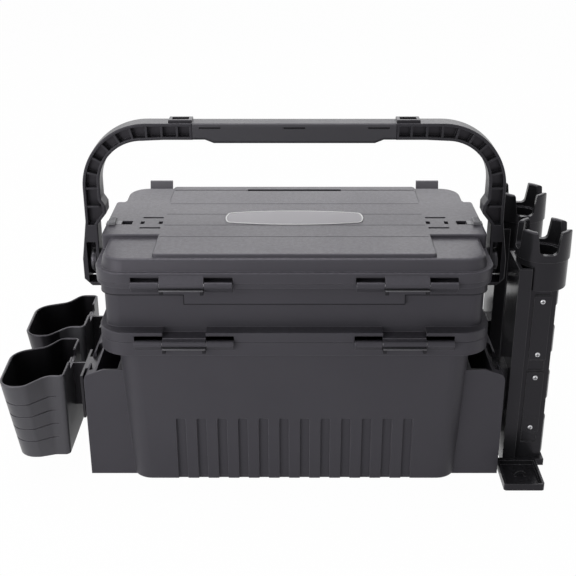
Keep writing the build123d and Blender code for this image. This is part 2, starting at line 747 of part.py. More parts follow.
# Handle arm: ribbed channel from the grip round the corner to the hub, with a web at mid-width
hub_bottom = handle_pivot_z - hub_drop
bar_bottom = handle_top - bar_thickness
channel_mid_radius = handle_corner - arm_thickness / 2
leg_mid_x = handle_reach - arm_thickness / 2
jog_bottom = handle_pivot_z + hub_jog_rise
bulge_top = handle_pivot_z + leg_bulge_rise
cheek_bottom = handle_pivot_z + hub_cheek_rise
with BuildPart() as handle_arm:
    with BuildSketch(Plane.XZ) as arm_profile:
        with BuildLine():
            Polyline((corner_x, handle_top), (grip_half, handle_top), (grip_half, bar_bottom))
            Polyline(
                (grip_half, bar_bottom),
                (inner_corner_x - bar_blend, bar_bottom),
                (inner_corner_x, handle_top - arm_thickness),
            )
            CenterArc((inner_corner_x, inner_corner_z), arm_inner_corner, 0, 90)
            Polyline(
                (arm_inner_x, inner_corner_z),
                (arm_inner_x, bulge_top + leg_bulge_run),
                (arm_inner_x - leg_bulge, bulge_top),
                (arm_inner_x - leg_bulge, jog_bottom + hub_jog_run),
                (hub_inner, jog_bottom),
                (hub_inner, hub_bottom),
                (hub_reach - hub_round, hub_bottom),
                (hub_reach, hub_bottom + hub_round),
                (hub_reach, cheek_bottom),
                (handle_reach, cheek_bottom + hub_cheek_run),
                (handle_reach, corner_z),
            )
            CenterArc((corner_x, corner_z), handle_corner, 0, 90)
        make_face()
    extrude(amount=arm_width / 2, both=True)
    fillet(handle_arm.edges().filter_by(Plane.XZ), soft_edge)
    for face in (-1, 1):
        with BuildSketch(Plane.XZ.offset(face * web_thickness / 2)) as pocket:
            add(arm_profile.sketch_local)
            offset(amount=-flange_thickness, mode=Mode.REPLACE)
            reach = handle_reach - grip_half - flange_thickness
            with Locations((grip_half + flange_thickness, arm_pocket_floor)):
                Rectangle(reach, handle_top, align=(Align.MIN, Align.MIN), mode=Mode.INTERSECT)
        extrude(amount=face * arm_width, mode=Mode.SUBTRACT)
    rib_places = []
    for i in range(bar_rib_count):
        x = grip_half + (i + 1) * (corner_x - grip_half) / (bar_rib_count + 1)
        rib_places.append((x, handle_top - bar_thickness / 2, 90))
    for i in range(arc_rib_count):
        turn = 90 * i / (arc_rib_count - 1)
        angle = math.radians(turn)
        x = corner_x + channel_mid_radius * math.cos(angle)
        z = corner_z + channel_mid_radius * math.sin(angle)
        rib_places.append((x, z, turn))
    for i in range(leg_rib_count):
        z = corner_z - (i + 1) * (corner_z - arm_pocket_floor) / (leg_rib_count + 1)
        rib_places.append((leg_mid_x, z, 0))
    with BuildSketch(Plane.XZ) as ribs:
        for x, z, turn in rib_places:
            with Locations(Location((x, z), turn)):
                Rectangle(bar_thickness - flange_thickness, rib_thickness)
    extrude(amount=arm_width / 2 - rib_set_back, both=True)
    cheek_slope = (hub_reach - handle_reach) / hub_cheek_run
    window_side = hub_reach - cheek_slope * (hub_window_half - hub_cheek_rise)
    window_x = (hub_inner + hub_plate, window_side - hub_shell)
    window_z = (handle_pivot_z - hub_window_half, handle_pivot_z + hub_window_half)
    window_back = pivot_head_radius + slide_play
    block((hub_inner, window_side), (arm_width / 4, window_back + hub_back), window_z)
    block(window_x, (-arm_width, window_back), window_z, Mode.SUBTRACT)
    bore_span = (hub_inner - 1, hub_inner + hub_plate + 1)
    rod_along_x(bore_span, 0, handle_pivot_z, pivot_radius + pin_play, Mode.SUBTRACT)
    plug_middle = handle_top - grip_end_depth / 2
    plug_x = (grip_half - plug_length, grip_half + 1)
    plug_z = (plug_middle - plug_height / 2, plug_middle + plug_height / 2)
    block(plug_x, (-plug_width / 2, plug_width / 2), plug_z)
    with BuildSketch(Plane.XY.offset(handle_top - soft_edge)):
        with Locations((grip_half + side_play, 0)):
            Rectangle(clip_tab_length, clip_tab_width, align=(Align.MIN, Align.CENTER))
    extrude(amount=clip_tab_height + soft_edge)
    fillet(handle_arm.edges(Select.LAST).group_by(Axis.Z)[-1], soft_edge)
    tab_x = grip_half + side_play
    hollow_x = (tab_x + clip_tab_wall, tab_x + clip_tab_length - clip_tab_wall)
    hollow_y = clip_tab_width / 2 - clip_tab_wall
    tab_top = handle_top + clip_tab_height
    block(hollow_x, (-hollow_y, hollow_y), (tab_top - clip_tab_hollow, tab_top + 1), Mode.SUBTRACT)
save(handle_arm.part, "handle_arm_right")

with BuildPart() as handle_arm_left:
    mirror(handle_arm.part, about=Plane.YZ)
save(handle_arm_left.part, "handle_arm_left")

with BuildPart() as handle_grip:
    with BuildSketch(Plane.XZ):
        with BuildLine():
            Polyline(
                (-grip_half, handle_top),
                (grip_half, handle_top),
                (grip_half, handle_top - grip_end_depth),
                (grip_deep_half + grip_shoulder, handle_top - grip_end_depth),
                (grip_deep_half, handle_top - grip_depth),
                (-grip_deep_half, handle_top - grip_depth),
                (-grip_deep_half - grip_shoulder, handle_top - grip_end_depth),
                (-grip_half, handle_top - grip_end_depth),
                close=True,
            )
        make_face()
    extrude(amount=grip_width / 2, both=True)
    fillet(handle_grip.edges().filter_by(Plane.XZ).filter_by(Axis.Z, reverse=True), grip_round)
    for face in (-1, 1):
        with BuildSketch(Plane.XZ.offset(-face * grip_width / 2)):
            with Locations((0, handle_top - grip_slot_drop)):
                with GridLocations(grip_slot_x, 1, 3, 1):
                    Rectangle(grip_slot_length, grip_slot_width)
        extrude(amount=face * grip_slot_depth, mode=Mode.SUBTRACT)
    for side in (-1, 1):
        socket_x = (side * (grip_half - plug_length - slide_play), side * (grip_half + 1))
        half_width = plug_width / 2 + slide_play
        socket_z = (plug_z[0] - slide_play, plug_z[1] + slide_play)
        block(socket_x, (-half_width, half_width), socket_z, Mode.SUBTRACT)
save(handle_grip.part, "handle_grip")

with BuildPart() as handle_pivot_pins:
    head_inner = hub_inner + hub_plate + slide_play
    head_outer = head_inner + pivot_head_thickness
    for side in (-1, 1):
        rod_along_x(sorted((side * ear_inner_x, side * head_inner)), 0, handle_pivot_z, pivot_radius)
        rod_along_x(sorted((side * head_inner, side * head_outer)), 0, handle_pivot_z, pivot_head_radius)
    for end in (0, -1):
        fillet(handle_pivot_pins.faces().sort_by(Axis.X)[end].edges(), pivot_head_round)
save(handle_pivot_pins.part, "handle_pivot_pins")


# Handle stop: a foot under the lid's lips, a neck in the slot and a finger tab on top
with BuildPart() as handle_stop:
    foot_bottom = lid_top - stop_slot_depth + slide_play
    stop_x = (stop_inner_x, lid_length / 2)
    tab_bottom = lid_top + stop_tab_lift
    block(
        stop_x,
        (stop_y - stop_foot_width / 2, stop_y + stop_foot_width / 2),
        (foot_bottom, foot_bottom + stop_foot_height),
    )
    block(stop_x, (stop_y - stop_neck_width / 2, stop_y + stop_neck_width / 2), (foot_bottom, tab_bottom))
    with BuildSketch(Plane.XY.offset(tab_bottom)):
        with Locations((stop_tab_inner_x, stop_y)):
            Rectangle(stop_tab_length, stop_tab_width, align=(Align.MIN, Align.CENTER))
    extrude(amount=stop_tab_height)
    fillet(handle_stop.edges(Select.LAST).group_by(Axis.Z)[-1], soft_edge)
save(handle_stop.part, "handle_stop_right")

with BuildPart() as handle_stop_left:
    mirror(handle_stop.part, about=Plane.YZ)
save(handle_stop_left.part, "handle_stop_left")


def holder_outline(axis_y, z, grow):
    """The S-shaped plan of a tool holder at a height; its front straightens out towards the bottom."""
    down = (holder_top - z) / holder_height
    depth = holder_depth - holder_draft * down
    front = axis_y - holder_front + (holder_front - holder_foot_front) * down
    front_shift = holder_shift + (holder_foot_shift - holder_shift) * down
    with BuildSketch(Plane.XY.offset(z)) as outline:
        with BuildLine():
            FilletPolyline(
                (-holder_inner_x, front),
                (-holder_inner_x - 0.26 * depth, front),
                (-holder_inner_x - 0.53 * depth, front - 0.84 * front_shift),
                (-holder_inner_x - 0.95 * depth, front - front_shift),
                (-holder_inner_x - depth, axis_y + holder_back - 1.3 * holder_shift),
                (-holder_inner_x - 0.48 * depth, axis_y + holder_back - 0.78 * holder_shift),
                (-holder_inner_x - 0.3 * depth, axis_y + holder_back),
                (-holder_inner_x, axis_y + holder_back),
                radius=(5, 12, 10, 19, 23, 14, 10, 5),
                close=True,
            )
        make_face()
        if grow:
            offset(amount=grow)
    return outline.sketch


# Tool holders, an open S-shaped cup with a slot for its rail, and the rails that plug into the wing
for name, axis_y in (("near", near_y), ("far", far_y)):
    tee_inner = holder_inner_x + wall + slide_play
    with BuildPart() as tool_holder:
        loft([holder_outline(axis_y, holder_bottom, 0), holder_outline(axis_y, holder_top, 0)])
        cup_floor = holder_bottom + floor_thickness
        inside = [holder_outline(axis_y, z, -wall) for z in (cup_floor, holder_top)]
        loft(inside, mode=Mode.SUBTRACT)
        for i in range(holder_groove_count):
            z = holder_groove_top - i * holder_groove_pitch
            with BuildSketch(Plane.XY.offset(z)) as groove:
                add(holder_outline(axis_y, z, 2).moved(Location((0, 0, -z))))
                add(holder_outline(axis_y, z, -holder_groove_depth).moved(Location((0, 0, -z))), mode=Mode.SUBTRACT)
                with Locations((-holder_inner_x - holder_groove_end, axis_y - holder_shift)):
                    Rectangle(2 * holder_depth, 3 * holder_front, align=(Align.MAX, Align.CENTER), mode=Mode.INTERSECT)
            extrude(groove.sketch, amount=holder_groove_height, mode=Mode.SUBTRACT)
        slot_x = (-holder_inner_x + 1, -holder_inner_x - wall - 1)
        half_slot = rail_web_thickness / 2 + slide_play
        half_notch = tee_notch_width / 2
        block(slot_x, (axis_y - half_slot, axis_y + half_slot), (rail_bottom - slide_play, holder_top), Mode.SUBTRACT)
        block(slot_x, (axis_y - half_notch, axis_y + half_notch), (rail_top, holder_top + 1), Mode.SUBTRACT)
    save(tool_holder.part, f"tool_holder_{name}")

    with BuildPart() as holder_rail:
        with BuildSketch(Plane.XY.offset(rail_bottom)):
            for inner_x, outer_x, width in (
                (rail_head_inner_x, rail_head_outer_x, rail_head_width),
                (rail_head_outer_x - 1, rail_plate_x + 1, rail_neck_width),
                (rail_plate_x, rail_plate_x + rail_plate_thickness, rail_plate_width),
                (rail_plate_x + 1, tee_inner + 1, rail_web_thickness),
                (tee_inner, tee_inner + rail_tee_thickness, rail_tee_width),
            ):
                with Locations((-(inner_x + outer_x) / 2, axis_y)):
                    Rectangle(outer_x - inner_x, width)
        extrude(amount=rail_height)
    save(holder_rail.part, f"holder_rail_{name}")


# Rod stands: bracket on the wing, ringed tube, notched collar and foot dish
tube_bottom = foot_top
tube_radius = tube_diameter / 2
tube_back_x = rod_axis_x - tube_radius
for name, axis_y in (("near", near_y), ("far", far_y)):
    with BuildPart() as rod_bracket:
        for low_x, high_x, low_y, high_y in (
            (bracket_inner_x, bracket_inner_x + bracket_plate, -bracket_half_width, bracket_half_width),
            (bracket_inner_x, bracket_outer_x, -bracket_half_width, -bracket_half_width + bracket_flange),
            (bracket_inner_x, bracket_outer_x, bracket_half_width - bracket_flange, bracket_half_width),
        ):
            block((low_x, high_x), (axis_y + low_y, axis_y + high_y), (foot_top, bracket_top))
        for level in bracket_lug_levels:
            lug_y = (axis_y - bracket_lug_half_width, axis_y + bracket_lug_half_width)
            block((bracket_inner_x, tube_back_x), lug_y, (level, level + bracket_lug_height))
        for inner_x, outer_x, width in (
            (rail_head_inner_x, rail_head_outer_x, rail_head_width),
            (rail_head_outer_x - 1, bracket_inner_x + 1, rail_neck_width),
        ):
            block((inner_x, outer_x), (axis_y - width / 2, axis_y + width / 2), (rail_bottom, rail_top))
    save(rod_bracket.part, f"rod_bracket_{name}")

    with BuildPart() as rod_tube:
        block(
            (tube_back_x, rod_axis_x + channel_reach),
            (axis_y - tube_radius, axis_y + tube_radius),
            (tube_bottom, tube_top),
        )
        for start, height in ring_spans:
            with BuildSketch(Plane.XY.offset(tube_bottom + start)):
                with Locations((rod_axis_x, axis_y)):
                    Circle(tube_radius)
            extrude(amount=height)
        with BuildSketch(Plane.XY.offset(tube_bottom + floor_thickness)):
            with Locations((rod_axis_x, axis_y)):
                Circle(tube_bore / 2)
        extrude(amount=tube_top, mode=Mode.SUBTRACT)
        gaps = [(low + height, high) for (low, height), (high, _) in zip(ring_spans, ring_spans[1:])]
        for low, high in gaps:
            mouth_y = (axis_y - tube_bore / 2, axis_y + tube_bore / 2)
            mouth_z = (tube_bottom + low, tube_bottom + high)
            block((rod_axis_x, rod_axis_x + tube_diameter), mouth_y, mouth_z, Mode.SUBTRACT)
        tube_front = axis_y - tube_radius
        for start, height in panel_spans:
            panel_x = (rod_axis_x - panel_plate_width / 2, rod_axis_x + panel_plate_width / 2)
            panel_y = (tube_front - panel_plate_height, tube_front + 1)
            block(panel_x, panel_y, (tube_bottom + start, tube_bottom + start + height))
        for start, height in window_spans:
            recess_x = (rod_axis_x - window_width / 2, rod_axis_x + window_width / 2)
            recess_y = (tube_front - 1, tube_front + window_depth)
            block(recess_x, recess_y, (tube_bottom + start, tube_bottom + start + height), Mode.SUBTRACT)
    save(rod_tube.part, f"rod_tube_{name}")

    with BuildPart() as rod_collar:
        for diameter, bottom, top in (
            (barrel_diameter, tube_top, collar_bottom),
            (collar_diameter, collar_bottom, collar_top),
        ):
            with BuildSketch(Plane.XY.offset(bottom)):
                with Locations((rod_axis_x, axis_y)):
                    Circle(diameter / 2)
            extrude(amount=top - bottom)
        notch_bottom = collar_bottom + collar_notch_floor
        half_floor = collar_notch_width / 2
        half_mouth = half_floor + collar_notch_flare
        for plane, across in ((Plane.XZ.offset(-axis_y), rod_axis_x), (Plane.YZ.offset(rod_axis_x), axis_y)):
            with BuildSketch(plane) as notch:
                with BuildLine():
                    Polyline(
                        (across - half_floor, notch_bottom),
                        (across + half_floor, notch_bottom),
                        (across + half_mouth, collar_top),
                        (across + half_mouth, collar_top + 1),
                        (across - half_mouth, collar_top + 1),
                        (across - half_mouth, collar_top),
                        close=True,
                    )
                make_face()
                fillet(notch.vertices().group_by(Axis.Y)[0], collar_notch_round)
            extrude(amount=collar_diameter, both=True, mode=Mode.SUBTRACT)
        cut_x = (rod_axis_x - barrel_diameter, bracket_outer_x + slide_play)
        cut_y = (axis_y - barrel_diameter, axis_y + barrel_diameter)
        block(cut_x, cut_y, (tube_top - 1, bracket_top + slide_play), Mode.SUBTRACT)
        with BuildSketch(Plane.XY.offset(tube_top)):
            with Locations((rod_axis_x, axis_y)):
                Circle(tube_radius)
        extrude(amount=collar_bottom - tube_top)
        for diameter, bottom in ((tube_bore, tube_top), (collar_bore, collar_bottom + collar_ledge)):
            with BuildSketch(Plane.XY.offset(bottom)):
                with Locations((rod_axis_x, axis_y)):
                    Circle(diameter / 2)
            extrude(amount=collar_top - bottom, mode=Mode.SUBTRACT)
        fillet(rod_collar.edges().group_by(Axis.Z)[-1], collar_round)
    save(rod_collar.part, f"rod_collar_{name}")

    with BuildPart() as rod_foot:
        dish_y = (axis_y - foot_reach, axis_y - bracket_half_width)
        block((foot_inner_x, foot_outer_x), (dish_y[0], dish_y[1] + foot_corner), (foot_lift, foot_top))
        fillet(rod_foot.edges().filter_by(Axis.Z).group_by(Axis.Y)[0], foot_corner)
        block(
            (bracket_inner_x, rod_axis_x + tube_bore / 2),
            (axis_y - bracket_half_width, axis_y + bracket_half_width),
            (foot_lift, foot_top),
        )
        block(
            (foot_inner_x + wall, foot_outer_x - wall),
            (dish_y[0] + wall, dish_y[1] - wall),
            (foot_lift + foot_floor, foot_top + 1),
            Mode.SUBTRACT,
        )
        loop_y = (dish_y[0] + dish_y[1]) / 2
        with BuildSketch(Plane.XZ.offset(-loop_y)):
            with Locations(((foot_inner_x + foot_outer_x) / 2, foot_lift + foot_floor)):
                Circle(foot_loop_radius)
                Circle(foot_loop_radius - foot_loop_wire, mode=Mode.SUBTRACT)
                lower_half = (Align.CENTER, Align.MAX)
                Rectangle(2 * foot_loop_radius, foot_loop_radius, align=lower_half, mode=Mode.SUBTRACT)
        extrude(amount=foot_loop_wire / 2, both=True)
    save(rod_foot.part, f"rod_foot_{name}")
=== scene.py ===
import bpy
import bmesh
import math
from mathutils import Matrix, Vector


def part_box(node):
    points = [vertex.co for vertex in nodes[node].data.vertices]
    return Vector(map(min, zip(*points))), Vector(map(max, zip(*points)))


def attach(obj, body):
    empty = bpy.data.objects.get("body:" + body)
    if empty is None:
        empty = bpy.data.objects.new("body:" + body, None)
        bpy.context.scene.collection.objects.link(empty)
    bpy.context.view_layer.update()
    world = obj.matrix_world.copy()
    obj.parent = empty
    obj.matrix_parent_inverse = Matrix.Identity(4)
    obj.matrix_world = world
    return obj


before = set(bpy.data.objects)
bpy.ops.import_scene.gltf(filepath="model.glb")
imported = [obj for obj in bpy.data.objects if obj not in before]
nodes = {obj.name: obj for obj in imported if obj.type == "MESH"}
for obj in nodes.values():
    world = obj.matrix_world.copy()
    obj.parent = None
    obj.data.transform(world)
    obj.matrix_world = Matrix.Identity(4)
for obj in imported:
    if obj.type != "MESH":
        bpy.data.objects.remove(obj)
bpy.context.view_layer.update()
print("frame loaded:", len(nodes), "nodes")

# shader node groups shared by the finishes


def newGroup(name, inputs, outputs):
    group = bpy.data.node_groups.new(name, "ShaderNodeTree")
    for label, value in inputs.items():
        socket = group.interface.new_socket(label, in_out="INPUT", socket_type="NodeSocketFloat")
        socket.default_value = value
    for label, kind in outputs.items():
        group.interface.new_socket(label, in_out="OUTPUT", socket_type=kind)
    return group, group.nodes.new("NodeGroupInput"), group.nodes.new("NodeGroupOutput")


def addMath(tree, operation, first, second=None, clamp=False):
    node = tree.nodes.new("ShaderNodeMath")
    node.operation = operation
    node.use_clamp = clamp
    for socket, value in zip(node.inputs, (first, second)):
        if value is None:
            continue
        if isinstance(value, (int, float)):
            socket.default_value = value
        else:
            tree.links.new(value, socket)
    return node.outputs[0]


grainValues = {"pitDetail": 3.0, "pitRoughness": 0.62, "driftDetail": 4.0, "cellShare": 0.35}
rubAndHighlightValues = {"samples": 6, "gain": 4.0, "power": 0.8, "breaksPerMetre": 90.0, "detail": 5.0, "floor": 0.25}
dustValues = {"level": 0.6, "gain": 2.5, "specksPerMetre": 260.0, "detail": 8.0, "speckLevel": 0.35, "speckGain": 2.0}
insideGain = 400.0


def buildMouldGrain():
    # spark-eroded mould texture: fine pits, plus a slow tone drift over the moulding
    group, inlet, outlet = newGroup(
        "mouldGrain",
        {"Pits per metre": 1400.0, "Drift per metre": 14.0, "Pit depth": 1.0},
        {"Height": "NodeSocketFloat", "Drift": "NodeSocketFloat"},
    )
    place = group.nodes.new("ShaderNodeTexCoord").outputs["Object"]
    pits = group.nodes.new("ShaderNodeTexNoise")
    pits.inputs["Detail"].default_value = grainValues["pitDetail"]
    pits.inputs["Roughness"].default_value = grainValues["pitRoughness"]
    cells = group.nodes.new("ShaderNodeTexVoronoi")
    drift = group.nodes.new("ShaderNodeTexNoise")
    drift.inputs["Detail"].default_value = grainValues["driftDetail"]
    for texture, rate in ((pits, "Pits per metre"), (cells, "Pits per metre"), (drift, "Drift per metre")):
        group.links.new(place, texture.inputs["Vector"])
        group.links.new(inlet.outputs[rate], texture.inputs["Scale"])
    cellDepth = addMath(group, "MULTIPLY", cells.outputs["Distance"], grainValues["cellShare"])
    both = addMath(group, "ADD", pits.outputs["Fac"], cellDepth)
    group.links.new(addMath(group, "MULTIPLY", both, inlet.outputs["Pit depth"]), outlet.inputs["Height"])
    group.links.new(drift.outputs["Fac"], outlet.inputs["Drift"])
    return group


def buildEdgeRubAndHighlight():
    # rounds sharp moulded edges in the shading and marks them; the pale edge colour painted there is part rubbed wear
    # and part painted highlight
    group, inlet, outlet = newGroup(
        "edgeRubAndHighlight",
        {"Edge radius": 0.0006, "Rub and highlight": 1.0},
        {"Rubbed and highlit": "NodeSocketFloat", "Normal": "NodeSocketVector"},
    )
    bevel = group.nodes.new("ShaderNodeBevel")
    bevel.samples = rubAndHighlightValues["samples"]
    group.links.new(inlet.outputs["Edge radius"], bevel.inputs["Radius"])
    surface = group.nodes.new("ShaderNodeNewGeometry")
    dot = group.nodes.new("ShaderNodeVectorMath")
    dot.operation = "DOT_PRODUCT"
    group.links.new(bevel.outputs["Normal"], dot.inputs[0])
    group.links.new(surface.outputs["Normal"], dot.inputs[1])
    turned = addMath(group, "SUBTRACT", 1.0, dot.outputs["Value"], clamp=True)
    raised = addMath(group, "MULTIPLY", turned, rubAndHighlightValues["gain"], clamp=True)
    sharp = addMath(group, "POWER", raised, rubAndHighlightValues["power"])
    broken = group.nodes.new("ShaderNodeTexNoise")
    broken.inputs["Scale"].default_value = rubAndHighlightValues["breaksPerMetre"]
    broken.inputs["Detail"].default_value = rubAndHighlightValues["detail"]
    place = group.nodes.new("ShaderNodeTexCoord")
    group.links.new(place.outputs["Object"], broken.inputs["Vector"])
    patchy = addMath(group, "MULTIPLY", sharp, addMath(group, "ADD", broken.outputs["Fac"], rubAndHighlightValues["floor"]))
    group.links.new(addMath(group, "MULTIPLY", patchy, inlet.outputs["Rub and highlight"], clamp=True), outlet.inputs["Rubbed and highlit"])
    group.links.new(bevel.outputs["Normal"], outlet.inputs["Normal"])
    return group


def buildSettledDust():
    # pale dust on faces that look up
    group, inlet, outlet = newGroup("settledDust", {"Amount": 0.15}, {"Dust": "NodeSocketFloat"})
    place = group.nodes.new("ShaderNodeTexCoord")
    parts = group.nodes.new("ShaderNodeSeparateXYZ")
    group.links.new(place.outputs["Normal"], parts.inputs[0])
    tilted = addMath(group, "SUBTRACT", parts.outputs["Z"], dustValues["level"])
    upward = addMath(group, "MULTIPLY", tilted, dustValues["gain"], clamp=True)
    specks = group.nodes.new("ShaderNodeTexNoise")
    specks.inputs["Scale"].default_value = dustValues["specksPerMetre"]
    specks.inputs["Detail"].default_value = dustValues["detail"]
    group.links.new(place.outputs["Object"], specks.inputs["Vector"])
    lifted = addMath(group, "SUBTRACT", specks.outputs["Fac"], dustValues["speckLevel"])
    patch = addMath(group, "MULTIPLY", lifted, dustValues["speckGain"], clamp=True)
    fallen = addMath(group, "MULTIPLY", upward, patch)
    group.links.new(addMath(group, "MULTIPLY", fallen, inlet.outputs["Amount"], clamp=True), outlet.inputs["Dust"])
    return group


def buildInsideShade():
    # marks the faces of a holder pair that look at the holder's own middle, where shade is painted on the insides
    group, inlet, outlet = newGroup(
        "insideShade", {"Middle X": -0.265, "Middle Y": 0.058}, {"Inside": "NodeSocketFloat"},
    )
    place = group.nodes.new("ShaderNodeTexCoord")
    point = group.nodes.new("ShaderNodeSeparateXYZ")
    group.links.new(place.outputs["Object"], point.inputs[0])
    look = group.nodes.new("ShaderNodeSeparateXYZ")
    group.links.new(place.outputs["Normal"], look.inputs[0])
    hand = addMath(group, "SIGN", point.outputs["Y"])
    offX = addMath(group, "SUBTRACT", point.outputs["X"], inlet.outputs["Middle X"])
    offY = addMath(group, "SUBTRACT", point.outputs["Y"], addMath(group, "MULTIPLY", hand, inlet.outputs["Middle Y"]))
    alongX = addMath(group, "MULTIPLY", offX, look.outputs["X"])
    alongY = addMath(group, "MULTIPLY", offY, look.outputs["Y"])
    outward = addMath(group, "ADD", alongX, alongY)
    inward = addMath(group, "MULTIPLY", outward, -insideGain, clamp=True)
    group.links.new(inward, outlet.inputs["Inside"])
    return group


def buildPocketShade():
    # marks what lies behind the front and back faces of a piece that is level in Y, where shade is painted into the
    # recesses
    group, inlet, outlet = newGroup(
        "pocketShade", {"Half width": 0.011, "Fade": 0.003}, {"Deep": "NodeSocketFloat"},
    )
    place = group.nodes.new("ShaderNodeTexCoord")
    point = group.nodes.new("ShaderNodeSeparateXYZ")
    group.links.new(place.outputs["Object"], point.inputs[0])
    behind = addMath(group, "SUBTRACT", inlet.outputs["Half width"], addMath(group, "ABSOLUTE", point.outputs["Y"]))
    look = group.nodes.new("ShaderNodeSeparateXYZ")
    group.links.new(place.outputs["Normal"], look.inputs[0])
    facing = addMath(group, "ABSOLUTE", look.outputs["Y"])
    depth = addMath(group, "DIVIDE", behind, inlet.outputs["Fade"], clamp=True)
    group.links.new(addMath(group, "MULTIPLY", depth, facing), outlet.inputs["Deep"])
    return group


mouldGrain = buildMouldGrain()
insideShade = buildInsideShade()
pocketShade = buildPocketShade()
edgeRubAndHighlight = buildEdgeRubAndHighlight()
settledDust = buildSettledDust()


def mixColour(tree, factor, first, second):
    node = tree.nodes.new("ShaderNodeMix")
    node.data_type = "RGBA"
    for socket, value in ((node.inputs[0], factor), (node.inputs[6], first), (node.inputs[7], second)):
        if isinstance(value, tuple):
            socket.default_value = (*value, 1.0)
        else:
            tree.links.new(value, socket)
    return node.outputs[2]


def placeGroup(tree, group, values):
    node = tree.nodes.new("ShaderNodeGroup")
    node.node_tree = group
    for label, value in values.items():
        node.inputs[label].default_value = value
    return node


roughSpread = 0.2
rubbedPolish = 0.12
pitDistance = 0.0002


def mouldedPlastic(name, look, paintedShadeGroup=None):
    material = bpy.data.materials.new(name)
    material.use_nodes = True
    tree = material.node_tree
    shader = tree.nodes["Principled BSDF"]
    grain = placeGroup(tree, mouldGrain, {"Pits per metre": look["pits"], "Drift per metre": look["drift"]})
    rubAndHighlight = placeGroup(tree, edgeRubAndHighlight, {"Edge radius": look["edge"], "Rub and highlight": look["rubAndHighlight"]})
    dust = placeGroup(tree, settledDust, {"Amount": look["dust"]})
    tone = mixColour(tree, grain.outputs["Drift"], look["dark"], look["light"])
    # painted highlight: edges take a pale colour that is part rubbed wear and part highlight
    wornAndHighlit = mixColour(tree, rubAndHighlight.outputs["Rubbed and highlit"], tone, look["rubbedEdgeAndHighlight"])
    dustAndPaintedShade = mixColour(tree, dust.outputs["Dust"], wornAndHighlit, look["dustColour"])
    # painted shade: marked recesses and insides are mixed towards a near-black
    if paintedShadeGroup:
        paintedShade = placeGroup(tree, paintedShadeGroup, {})
        dustAndPaintedShade = mixColour(tree, paintedShade.outputs[0], dustAndPaintedShade, look["paintedShade"])
    tree.links.new(dustAndPaintedShade, shader.inputs["Base Color"])
    spread = addMath(tree, "MULTIPLY", addMath(tree, "SUBTRACT", grain.outputs["Drift"], 0.5), roughSpread)
    rough = addMath(tree, "ADD", spread, look["rough"])
    smooth = addMath(tree, "MULTIPLY", rubAndHighlight.outputs["Rubbed and highlit"], rubbedPolish)
    tree.links.new(addMath(tree, "SUBTRACT", rough, smooth, clamp=True), shader.inputs["Roughness"])
    shader.inputs["Specular IOR Level"].default_value = look["shine"]
    shader.inputs["Specular Tint"].default_value = (*look["sheenTint"], 1.0)
    bump = tree.nodes.new("ShaderNodeBump")
    bump.inputs["Strength"].default_value = look["grainDepth"]
    bump.inputs["Distance"].default_value = pitDistance
    tree.links.new(grain.outputs["Height"], bump.inputs["Height"])
    tree.links.new(rubAndHighlight.outputs["Normal"], bump.inputs["Normal"])
    tree.links.new(bump.outputs["Normal"], shader.inputs["Normal"])
    return material


def drawnSteel(name, look):
    material = bpy.data.materials.new(name)
    material.use_nodes = True
    tree = material.node_tree
    shader = tree.nodes["Principled BSDF"]
    grain = placeGroup(tree, mouldGrain, {"Pits per metre": look["pits"], "Drift per metre": look["drift"]})
    tree.links.new(mixColour(tree, grain.outputs["Drift"], look["dark"], look["light"]), shader.inputs["Base Color"])
    spread = addMath(tree, "MULTIPLY", grain.outputs["Height"], roughSpread)
    tree.links.new(addMath(tree, "ADD", spread, look["rough"], clamp=True), shader.inputs["Roughness"])
    shader.inputs["Metallic"].default_value = 1.0
    return material


caseLook = {
    "dark": (0.0455, 0.044, 0.051), "light": (0.0595, 0.0575, 0.066), "rubbedEdgeAndHighlight": (0.17, 0.165, 0.182),
    "dustColour": (0.34, 0.32, 0.385), "sheenTint": (0.93, 0.88, 1.0), "paintedShade": (0.004, 0.004, 0.0045),
    "rough": 0.44, "shine": 0.26, "pits": 1500.0, "drift": 11.0, "grainDepth": 0.5, "edge": 0.0008,
    "rubAndHighlight": 0.9, "dust": 0.1,
}
lidLook = dict(caseLook, dust=0.17, rough=0.36, shine=0.33)
# painted light: the lid's latch tabs get a lighter grey that stands in for the light they catch
tabPaintedLightLook = dict(caseLook, dark=(0.15, 0.146, 0.16), light=(0.175, 0.17, 0.186), rough=0.38)
handleLook = dict(
    caseLook, dark=(0.014, 0.014, 0.016), light=(0.023, 0.023, 0.026), rubbedEdgeAndHighlight=(0.12, 0.12, 0.127),
    rough=0.34, shine=0.35, grainDepth=0.2, dust=0.06,
)
gripLook = dict(handleLook, dark=(0.035, 0.035, 0.038), light=(0.05, 0.05, 0.054), rough=0.42)
holderLook = dict(
    caseLook, dark=(0.05, 0.05, 0.054), light=(0.064, 0.064, 0.069), rough=0.36, grainDepth=0.15, shine=0.45,
)
railLook = dict(
    handleLook, dark=(0.008, 0.008, 0.009), light=(0.014, 0.014, 0.015), rubbedEdgeAndHighlight=(0.16, 0.16, 0.165), rough=0.26,
)
standLook = dict(
    handleLook, dark=(0.012, 0.012, 0.013), light=(0.02, 0.02, 0.022), rubbedEdgeAndHighlight=(0.17, 0.17, 0.175), rough=0.26,
    grainDepth=0.1, shine=0.24,
)
plaqueLook = dict(
    caseLook, dark=(0.27, 0.26, 0.28), light=(0.31, 0.3, 0.32), rubbedEdgeAndHighlight=(0.4, 0.4, 0.41), rough=0.35,
    grainDepth=0.04, dust=0.05,
)
plaqueLineLook = dict(
    caseLook, dark=(0.8, 0.8, 0.8), light=(0.88, 0.88, 0.88), rubbedEdgeAndHighlight=(0.85, 0.85, 0.85), rough=0.4,
    grainDepth=0.04, dust=0.0,
)
